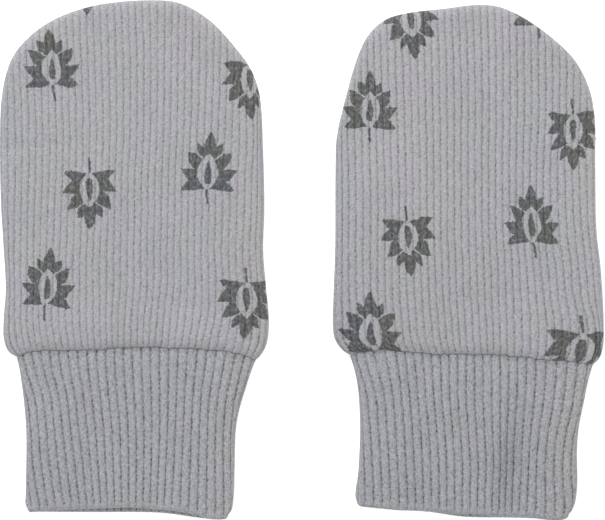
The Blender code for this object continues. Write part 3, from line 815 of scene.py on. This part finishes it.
# ---------------------------------------------------------------- the cuffs
def cuff(side, m):
    wrist, mouth = smooth_curve(m["wrist"], 60), smooth_curve(m["mouth"], 60)
    wrist = wrist - (0.0, LOOK_GAP)
    sides = []
    for rows in m["sides"]:
        c = smooth_curve(rows, 60)
        sides.append(c - np.array([0.0, LOOK_GAP]) * np.linspace(1, 0, len(c))[:, None])
    width, run = length(wrist), length(sides[0])
    half = CUFF_WALL / 2
    cloth, inwards = over_edge(CUFF_HEIGHT - EDGE_LEVEL)
    total = width - 2 * TURN + 2 * cloth[-1]
    stations = (0.0, 0.045, 0.11, 0.28, 0.5, 0.72, 0.89, 0.955)
    columns = np.array([r + s for r in range(CUFF_RIBS) for s in stations])  # ribs from the left fold
    rib_at = np.r_[columns, columns + CUFF_RIBS]
    twist_ribs, twist = m["twist"]
    twist = np.array(twist)

    def around(down):
        """For each column at this depth: its share across, and whether it is in front."""
        left, right = along(sides[0], [down])[0], along(sides[1], [down])[0]
        xs = graph(twist[:, 0], twist[:, 1:], np.clip(down * run, 0, twist[-1, 0]))
        off = (xs - left[0]) / (right[0] - left[0]) * width
        a = off - TURN + cloth[-1]
        at = np.r_[a[-1] - 2 * total, a, a[0] + 2 * total, a[1] + 2 * total]
        ribs = np.r_[twist_ribs[-1] - 2 * CUFF_RIBS, twist_ribs, twist_ribs[0] + 2 * CUFF_RIBS, twist_ribs[1] + 2 * CUFF_RIBS]
        place = graph(ribs, at, rib_at) % (2 * total)
        front = place < total
        flat_at = np.where(front, place, 2 * total - place)
        share = in_from_edges(flat_at, total, width, cloth, inwards) / width
        return share, np.where(front, 1.0, -1.0)

    def shells(down):
        share, face = around(down)
        edge_off = np.minimum(share, 1 - share) * width
        turn, turn_in = turned(edge_off, TURN, 2.8), rise(edge_off, EDGE_ROLL)
        side_in = np.where(share < 0.5, 1.0, -1.0)
        short = HEM_SHORT * np.interp(share, *zip(*m["short"])) * (face > 0)
        top, bottom = along(wrist, share), along(mouth, share)
        s, d = share[:, None], down
        left, right = along(sides[0], [down])[0], along(sides[1], [down])[0]
        ends = (1 - s) * (1 - d) * wrist[0] + s * (1 - d) * wrist[-1] + (1 - s) * d * mouth[0] + s * d * mouth[-1]
        xy = (1 - s) * left + s * right + (1 - d) * top + d * bottom - ends
        xy[:, 1] += short * min(1.0, max(0.0, (down - 0.5) / 0.5)) ** 2
        into = down * run
        lift = MOUTH_LIFT * max(0.0, down - 0.4) / 0.6 * np.sin(np.pi * share)
        high = CUFF_HEIGHT + lift - hollows(xy[:, 0], xy[:, 1], m["folds"] + m["ripples"])
        high = high + 0.08 * waves(xy[:, 0], xy[:, 1], m["seed"] + 3, 17.0, 24.0)
        high = high - (CUFF_HEIGHT - CUFF_LOW) * math.exp(-into / CUFF_RISE)
        rolled = float(rise(into, CREASE_ROLL))
        top_out = CUFF_LIP + (high - CUFF_LIP) * float(rise(into, 1.7))
        under_out = CREASE_UNDER * (1 - rolled) + rolled * hollows(xy[:, 0], xy[:, 1], m["under"])
        wall = SEAM_WALL + (CUFF_WALL - SEAM_WALL) * rolled
        level_out = np.where(face > 0, top_out, under_out)
        level_in = np.where(face > 0, np.maximum(top_out - wall, EDGE_LEVEL + 0.15), wall)
        wavy = seam_line(xy[:, 0], m["seed"]) * math.exp(-((into / 1.6) ** 2)) * turned(edge_off, 3.0) * (face > 0)
        xy[:, 1] += wavy
        deep = CUFF_WALL * side_in * (1 - turn_in)
        outside = np.column_stack([xy, EDGE_LEVEL + (level_out - EDGE_LEVEL) * turn])
        inside = np.column_stack([xy[:, 0] + deep, xy[:, 1], EDGE_LEVEL + (level_in - EDGE_LEVEL) * turn_in])
        return outside, inside

    hem = 1 - half / run
    outer_rows = 118
    # rows close together at the crease's roll
    cloth_len = 0.35 + hem * run
    at = np.linspace(0, cloth_len, outer_rows)
    down = np.where(at < 1.05, 0.7 * (at / 1.05) ** 1.6, at - 0.35) / run
    stack, levels, kinds = [], [], []
    for d, c in zip(down, at):
        stack.append(shells(min(d, hem))[0])
        levels.append(c)
        kinds.append(1.0)
    out_hem, in_hem = shells(hem)
    share = around(hem)[0]
    corner = turned(np.minimum(share, 1 - share) * width, 2.0, 2.0)
    for i in range(1, 10):
        angle = math.pi * i / 10
        c, s = math.cos(angle), math.sin(angle)
        fold = (out_hem + in_hem) / 2 + (out_hem - in_hem) / 2 * c
        fold[:, 1] -= half * s * (0.90 + 0.10 * corner)
        stack.append(fold)
        levels.append(cloth_len + angle * half)
        kinds.append(1.0)
    base_level = cloth_len + math.pi * half
    inner = np.r_[hem - np.linspace(0, 1, 14) ** 1.3 * (hem - 0.5), np.linspace(0.5, CREASE_ROLL / run, 6)[1:],
                  0.5 * CREASE_ROLL / run, 0.0]
    for d in inner:
        stack.append(shells(d)[1])
        levels.append(base_level + (hem - d) * run)
        kinds.append(0.7)
    shape = np.stack(stack)  # rows, columns, xyz
    levels, kinds = np.array(levels), np.array(kinds)
    nv, nu = shape.shape[:2]
    across = (np.roll(shape, -1, axis=1) - np.roll(shape, 1, axis=1))
    downwards = np.gradient(shape, axis=0)
    out = np.cross(across, downwards)
    out /= np.maximum(np.linalg.norm(out, axis=2, keepdims=True), 1e-9)
    if out[nv // 3, nu // 4, 2] < 0:
        out = -out
    shift = m["seed"] * 10  # a stretch of cloth of its own
    relief = rib_relief(np.broadcast_to((rib_at + shift) * CUFF_RIB, (nv, nu)), np.broadcast_to(levels[:, None], (nv, nu)),
                        CUFF_RIB, 0.86, 0.20)
    fold_mid = cloth_len + math.pi * half / 2
    quiet = 0.12 + 0.88 * np.maximum(step(1.3, 2.9, fold_mid - levels), step(0.1, 0.9, levels - fold_mid))
    end = np.minimum(1.0, 0.22 + np.minimum(levels / 0.8, (levels[-1] - levels) / 1.3))
    relief = relief * (kinds * quiet * end)[:, None]
    shape = shape - out * relief[:, :, None]
    shape[:, :, 2] = np.maximum(shape[:, :, 2], 0.0)
    points = shape.reshape(-1, 3)
    quads = quads_of(nu, nv, closed_u=True)
    i = np.arange(nu)
    close = np.stack([(nv - 1) * nu + i, (nv - 1) * nu + (i + 1) % nu, (i + 1) % nu, i], axis=1)
    quads = np.vstack([quads, close])
    quads = turned_out(points, quads)
    corners = quads.ravel()
    col, row = corners % nu, corners // nu
    column_x = rib_at[col]
    # the faces that close the tube's round reach the next turn's zero
    face_cols = col.reshape(-1, 4)
    wrap = (face_cols.max(axis=1) - face_cols.min(axis=1)) > nu // 2
    column_x = column_x.reshape(-1, 4)
    column_x[wrap] = np.where(face_cols[wrap] == 0, 2 * CUFF_RIBS, column_x[wrap])
    column_x = column_x.ravel()
    cloth_map = np.stack([(column_x + shift) * CUFF_RIB, levels[row]], axis=1)
    rows4 = row.reshape(-1, 4)
    closing = (rows4.max(axis=1) - rows4.min(axis=1)) > nv // 2
    lay_y = np.where(levels <= base_level, levels / base_level * 0.74,
                     0.76 + (levels - base_level) / (levels[-1] - base_level) * 0.2)[row].reshape(-1, 4)
    lay_y[closing] = np.where(rows4[closing] == 0, 0.985, lay_y[closing])
    lay = np.stack([0.005 + column_x / (2 * CUFF_RIBS) * 0.99, 0.005 + lay_y.ravel()], axis=1)
    piece = make_piece(f"{side}_cuff_knit", m, points, quads, np.zeros((0, 3), int), {"cloth": cloth_map, "OFBake": lay})
    print(side, "cuff tris", 2 * len(quads), "columns", nu, "rows", nv, "round", 2 * total)
    return piece, dict(total=2 * total, down=cloth_len)


# ---------------------------------------------------------------- materials
# The leaf, as pointed lobes: where each starts and ends beside the leaf's middle, its width, in mm,
# and how sharply it narrows to its tip.
LOBES = (
    ((0.0, 2.9), (0.05, 10.0), 2.9, 0.15),
    ((0.6, 2.7), (3.25, 7.0), 2.3, 0.2),
    ((1.2, 0.0), (5.65, 4.7), 3.4, 0.25),
    ((1.2, -2.9), (7.25, 0.35), 3.3, 0.45),
    ((0.5, -3.4), (6.8, -5.1), 3.5, 0.2),
)


def texture(x, y, across, along_ribs, seed, detail=2.0, rough=0.55):
    """Noise between about 0 and 1, of these sizes in mm."""
    tree = x.tree
    place = tree.nodes.new("ShaderNodeCombineXYZ")
    for slot, value in zip(place.inputs, (x / across, y / along_ribs)):
        tree.links.new(value.socket, slot)
    place.inputs[2].default_value = seed
    node = tree.nodes.new("ShaderNodeTexNoise")
    tree.links.new(place.outputs[0], node.inputs["Vector"])
    node.inputs["Scale"].default_value = 1.0
    node.inputs["Detail"].default_value = detail
    node.inputs["Roughness"].default_value = rough
    return Wire(tree, node.outputs[0])


def between(low, high, v):
    """0 below low, 1 above high, and smooth between."""
    node = v.tree.nodes.new("ShaderNodeMapRange")
    node.interpolation_type = "SMOOTHSTEP"
    v.tree.links.new(v.socket, node.inputs["Value"])
    node.inputs["From Min"].default_value = low
    node.inputs["From Max"].default_value = high
    return Wire(v.tree, node.outputs[0])


def mixed(tree, share, a, b):
    node = tree.nodes.new("ShaderNodeMix")
    node.data_type = "RGBA"
    node.clamp_factor = True
    if isinstance(share, Wire):
        tree.links.new(share.socket, node.inputs[0])
    else:
        node.inputs[0].default_value = share
    for slot, value in zip((node.inputs[6], node.inputs[7]), (a, b)):
        if isinstance(value, tuple):
            slot.default_value = (*value, 1.0)
        else:
            tree.links.new(value, slot)
    return node.outputs[2]


def shaded(tree, colour, share):
    """A colour, darker or lighter by a number."""
    node = tree.nodes.new("ShaderNodeVectorMath")
    node.operation = "SCALE"
    tree.links.new(colour, node.inputs[0])
    tree.links.new(share.socket, node.inputs["Scale"])
    return node.outputs[0]


def cooled(tree, colour, painted_light_tint):
    """A colour, bluer or warmer by a number."""
    scale = tree.nodes.new("ShaderNodeCombineXYZ")
    scale.inputs[1].default_value = 1.0
    tree.links.new((painted_light_tint * -1.0 + 1.0).socket, scale.inputs[0])
    tree.links.new((painted_light_tint + 1.0).socket, scale.inputs[2])
    node = tree.nodes.new("ShaderNodeVectorMath")
    node.operation = "MULTIPLY"
    tree.links.new(colour, node.inputs[0])
    tree.links.new(scale.outputs[0], node.inputs[1])
    return node.outputs[0]


def place_on(tree, name):
    node = tree.nodes.new("ShaderNodeUVMap")
    node.uv_map = name
    split = tree.nodes.new("ShaderNodeSeparateXYZ")
    tree.links.new(node.outputs[0], split.inputs[0])
    return Wire(tree, split.outputs[0]), Wire(tree, split.outputs[1])


def lens(x, y, start, stop, width, sharp=0.0):
    """How far inside a pointed oval x, y is, in mm: below zero it is outside."""
    mid = ((start[0] + stop[0]) / 2, (start[1] + stop[1]) / 2)
    long = math.hypot(stop[0] - start[0], stop[1] - start[1])
    dx, dy = (stop[0] - start[0]) / long, (stop[1] - start[1]) / long
    t = x * dx + (y * dy - (mid[0] * dx + mid[1] * dy))
    n = y * dx - x * dy - (mid[1] * dx - mid[0] * dy)
    t = smaller(t * (2 / long), 1.6)
    return ((1.0 - t * t) * (1.0 - t * sharp)) * (width / 2) - abs(n)


def leaf_ink(tree, cloth):
    """How much ink lies at each place of the leaf print."""
    cx, cy = cloth
    x, y = place_on(tree, "leaf")
    x = x + (texture(cx, cy, 0.7, 0.9, 3.1, 2.0) - 0.5) * 0.85 + (texture(cx, cy, 3.6, 4.2, 23.1, 0.0) - 0.5) * 0.8
    y = y + (texture(cx, cy, 0.7, 0.9, 7.7, 2.0) - 0.5) * 0.85 + (texture(cx, cy, 3.6, 4.2, 27.7, 0.0) - 0.5) * 0.8
    lean = x  # the leaf's own x, before its halves are folded together
    x = abs(x)
    shape = None
    for start, stop, width, sharp in LOBES:
        lobe = lens(x, y, start, stop, width, sharp)
        shape = lobe if shape is None else larger(shape, lobe)
    body = lens(x, y, (0.0, -7.2), (0.0, 5.0), 8.2)
    underside = y + 5.45 - exp_of(-(x / 2.4) * (x / 2.4)) * 0.75
    shape = smaller(larger(shape, body), underside)
    slit = smaller(0.17 - abs((y - 3.55) * 0.78 - (x - 2.3) * 0.62), smaller(x - 1.2, 4.6 - x))
    shape = smaller(shape, -slit)
    shape = smaller(shape, -lens(x, y, (0.0, -5.3), (0.0, 4.4), 5.3))
    shape = larger(shape, smaller(lens(x, y, (0.0, -4.6), (0.0, 2.7), 1.9, 0.25), y + 3.4))
    stem = smaller(0.32 - abs(lean + (y + 5.0) * 0.06), smaller(y + 8.9, -4.9 - y))
    shape = larger(shape, stem)
    return between(-0.14, 0.14, shape)


def knit_material(name, pitch, light, dark, ink, coarse, leaning, painted_light_and_shade, painted_light_tint):
    material = bpy.data.materials.new(name)
    material.use_nodes = True
    tree = material.node_tree
    shader = tree.nodes["Principled BSDF"]
    x, y = place_on(tree, "cloth")
    opening, leg, near = knit(x, y, pitch)
    fibre = texture(x, y, 0.30, 0.58, 1.3, 1.0, 0.5)
    fleck = texture(x, y, 0.62, 1.0, 5.9, 1.0, 0.5)
    pit = between(0.60, 0.74, texture(x, y, 0.36, 0.46, 31.7, 0.0))
    patch = texture(x, y, 8.0, 12.0, 9.4, 2.0, 0.5)
    tint = texture(x, y, 8.0, 13.0, 14.2, 3.0, 0.65)
    tinted = between(0.34, 0.66, tint)
    colour = mixed(tree, tinted, light, dark)
    if ink:
        ink = mixed(tree, tinted, *ink)
        covered = leaf_ink(tree, (x, y))
        thin = 0.95 - (fleck - 0.5) * 1.1
        colour = mixed(tree, covered * thin, colour, ink)
    rib = x / pitch
    lean = rib - floor_of(rib) - 0.5  # from the rib's left foot to its right, for the painted side light below
    # painted shade: each groove is painted darker by how open it is, as the shade inside it; each rib's left side is
    # painted lighter and its right side darker, as light from the left falls on it; fibre, fleck, patch and pit vary
    # the tone at random
    tone = (1.0 + (fibre - 0.5) * (0.70 * coarse) + (fleck - 0.5) * (0.22 * coarse) + (patch - 0.5) * (0.11 * coarse)
            + (leg - 0.5) * 0.05 - pit * (0.16 * coarse) - lean * leaning - opening * (0.12 * coarse))
    # painted light and shade: soft spots on the cloth painted darker, or lighter where deep is below zero, where shade
    # or light falls on the pieces
    for fx, fy, half_width, half_length, deep in painted_light_and_shade:
        dx, dy = (x - fx) / half_width, (y - fy) / half_length
        tone = tone - exp_of(-(dx * dx + dy * dy)) * deep
    colour = shaded(tree, colour, tone)
    # painted light tint: one side of each piece is painted a little bluer and the other warmer, as if cool light came
    # from the left and warm light from the right
    tilt = rib * 0.0
    for fx, fy, half_width, half_length, much in painted_light_tint:
        dx, dy = (rib - fx) / half_width, (y - fy) / half_length
        tilt = tilt + exp_of(-(dx * dx + dy * dy)) * much
    colour = cooled(tree, colour, tilt)
    # a few pale specks of lint
    cell = tree.nodes.new("ShaderNodeTexVoronoi")
    place = tree.nodes.new("ShaderNodeCombineXYZ")
    for slot, value in zip(place.inputs, (x / 5.2, y / 6.4)):
        tree.links.new(value.socket, slot)
    tree.links.new(place.outputs[0], cell.inputs["Vector"])
    cell.inputs["Scale"].default_value = 1.0
    chance = tree.nodes.new("ShaderNodeSeparateColor")
    tree.links.new(cell.outputs["Color"], chance.inputs[0])
    speck = between(0.065, 0.02, Wire(tree, cell.outputs["Distance"])) * between(0.88, 0.93, Wire(tree, chance.outputs[0]))
    colour = mixed(tree, speck * 0.45, colour, (0.62, 0.62, 0.64))
    tree.links.new(colour, shader.inputs["Base Color"])
    height = leg * 0.045 + fibre * 0.075 + fleck * 0.06
    bump = tree.nodes.new("ShaderNodeBump")
    bump.inputs["Strength"].default_value = 0.8
    bump.inputs["Distance"].default_value = 0.001
    tree.links.new(height.socket, bump.inputs["Height"])
    tree.links.new(bump.outputs[0], shader.inputs["Normal"])
    shader.inputs["Roughness"].default_value = 0.94
    shader.inputs["Specular IOR Level"].default_value = 0.18
    shader.inputs["Sheen Weight"].default_value = 0.12
    shader.inputs["Sheen Roughness"].default_value = 0.55
    return material


# ---------------------------------------------------------------- build
# The last two lists of each material are painted light and shade: spots painted darker or lighter where shade or light
# falls, then a painted light tint. The number after the coarseness is how much each rib's left side is painted lighter
# and its right side darker.
bag_knit = knit_material("printed_rib_knit", RIB, (0.382, 0.374, 0.405), (0.370, 0.374, 0.383), ((0.097, 0.104, 0.110), (0.104, 0.107, 0.099)), 1.06, 0.14,
                         [((110 + 20) * RIB, 13.0, 42.0, 17.0, 0.036), ((110 + 37) * RIB, 9.0, 5.0, 15.0, 0.05),
                          ((370 + 19) * RIB, 14.0, 42.0, 19.0, 0.048), ((370 + 1) * RIB, 5.0, 5.5, 8.0, 0.09)],
                         [(110, 45.0, 4.5, 60.0, 0.017), (110 + 26, 30.0, 8.0, 38.0, 0.009), (110 + 38.5, 20.0, 3.3, 22.0, -0.022),
                          (110 + 38.5, 85.0, 3.3, 20.0, -0.020), (110 + 30, 90.0, 6.0, 14.0, -0.018), (370, 45.0, 4.0, 60.0, 0.017),
                          (370 + 12, 60.0, 4.5, 35.0, -0.010), (370 + 29, 42.0, 4.0, 30.0, 0.013), (370 + 29, 90.0, 6.0, 14.0, -0.016),
                          (370 + 39, 40.0, 2.6, 60.0, -0.026)])
cuff_knit = knit_material("plain_rib_knit", CUFF_RIB, (0.338, 0.339, 0.368), (0.330, 0.338, 0.352), None, 1.55, 0.15,
                          [((370 + 18.8) * CUFF_RIB, 29.0, 5.0, 12.5, 0.12), ((110 + 3.0) * CUFF_RIB, 40.0, 9.0, 14.0, 0.03),
                           (0.0, 0.8, 1e5, 0.75, 0.09), ((110 + 26.0) * CUFF_RIB, 10.0, 4.5, 8.0, 0.06),
                           ((110 + 1.5) * CUFF_RIB, 17.0, 6.0, 9.0, -0.045), ((110 + 20.7) * CUFF_RIB, 18.5, 5.5, 6.5, -0.055),
                           ((370 + 7.5) * CUFF_RIB, 35.0, 11.0, 9.0, 0.055)],
                          [(110 + 26.5, 20.0, 2.3, 60.0, -0.034), (370 + 20.5, 36.0, 3.5, 14.0, 0.018), (370 + 27.5, 20.0, 3.2, 60.0, -0.032)])

for side, m in MITTENS.items():
    outline = Outline(m)
    made = []
    for front in (True, False):
        piece, facts = bag_panel(side, m, outline, front)
        made.append((piece, f"{side}_{'front' if front else 'back'}_panel", "bag_rib_knit", facts))
    piece, facts = cuff(side, m)
    made.append((piece, f"{side}_cuff", "cuff_rib_knit", facts))
    for piece, node, slot, facts in made:
        piece.data.materials.append(cuff_knit if node.endswith("cuff") else bag_knit)
        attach(piece, "root")
        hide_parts(node)
        if node.endswith("cuff"):
            round(facts["total"] * MM, 4)
        else:
            round(facts["total"] * MM, 4)

# ---------------------------------------------------------------- stage
floor_mesh = bpy.data.meshes.new("studio_floor")
floor_mesh.from_pydata([(-3, -3, -0.0001), (3, -3, -0.0001), (3, 3, -0.0001), (-3, 3, -0.0001)], [], [(0, 1, 2, 3)])
floor = bpy.data.objects.new("studio_floor", floor_mesh)
bpy.context.scene.collection.objects.link(floor)
white = bpy.data.materials.new("white_floor")
white.use_nodes = True
white.node_tree.nodes["Principled BSDF"].inputs["Base Color"].default_value = (0.90, 0.90, 0.90, 1)
white.node_tree.nodes["Principled BSDF"].inputs["Emission Color"].default_value = (1, 1, 1, 1)
white.node_tree.nodes["Principled BSDF"].inputs["Emission Strength"].default_value = 0.5
white.node_tree.nodes["Principled BSDF"].inputs["Roughness"].default_value = 0.9
white.node_tree.nodes["Principled BSDF"].inputs["Specular IOR Level"].default_value = 0.2
floor_mesh.materials.append(white)


def lamp(name, place, size, power, aim=(0, 0, 0)):
    data = bpy.data.lights.new(name, "AREA")
    data.shape, data.size, data.energy = "DISK", size, power
    obj = bpy.data.objects.new(name, data)
    obj.location = place
    from mathutils import Vector
    obj.rotation_mode = "QUATERNION"
    obj.rotation_quaternion = (Vector(aim) - Vector(place)).to_track_quat("-Z", "Y")
    bpy.context.scene.collection.objects.link(obj)
    return obj


lamp("key", (-0.34, 0.90, 1.06), 0.95, 11.3)
lamp("fill", (0.25, -0.10, 1.50), 1.2, 2.8)
world = bpy.data.worlds.new("studio")
world.use_nodes = True
world.node_tree.nodes["Background"].inputs["Color"].default_value = (1, 1, 1, 1)
world.node_tree.nodes["Background"].inputs["Strength"].default_value = 0.66
bpy.context.scene.world = world
bpy.context.scene.view_settings.view_transform = "Standard"
bpy.context.scene.view_settings.look = "None"

# ---------------------------------------------------------------- camera
PX = 0.2612  # mm to a pixel at the outline's level
HEIGHT = 1000.0
camera = bpy.data.cameras.new("camera")
camera.sensor_width = 36.0
camera.lens = 36.0 / 2 / (605 / 2 * PX / (HEIGHT - EDGE_LEVEL))
camera.clip_start, camera.clip_end = 0.05, 10.0
eye = bpy.data.objects.new("camera", camera)
left_zero = np.array(MITTENS["left"]["place"]) - MIDDLE
eye.location = ((left_zero[0] + (302.5 - 132) * PX) * MM, (left_zero[1] + (350 - 260) * PX) * MM, HEIGHT * MM)
bpy.context.scene.collection.objects.link(eye)
bpy.context.scene.camera = eye

bpy.context.view_layer.update()
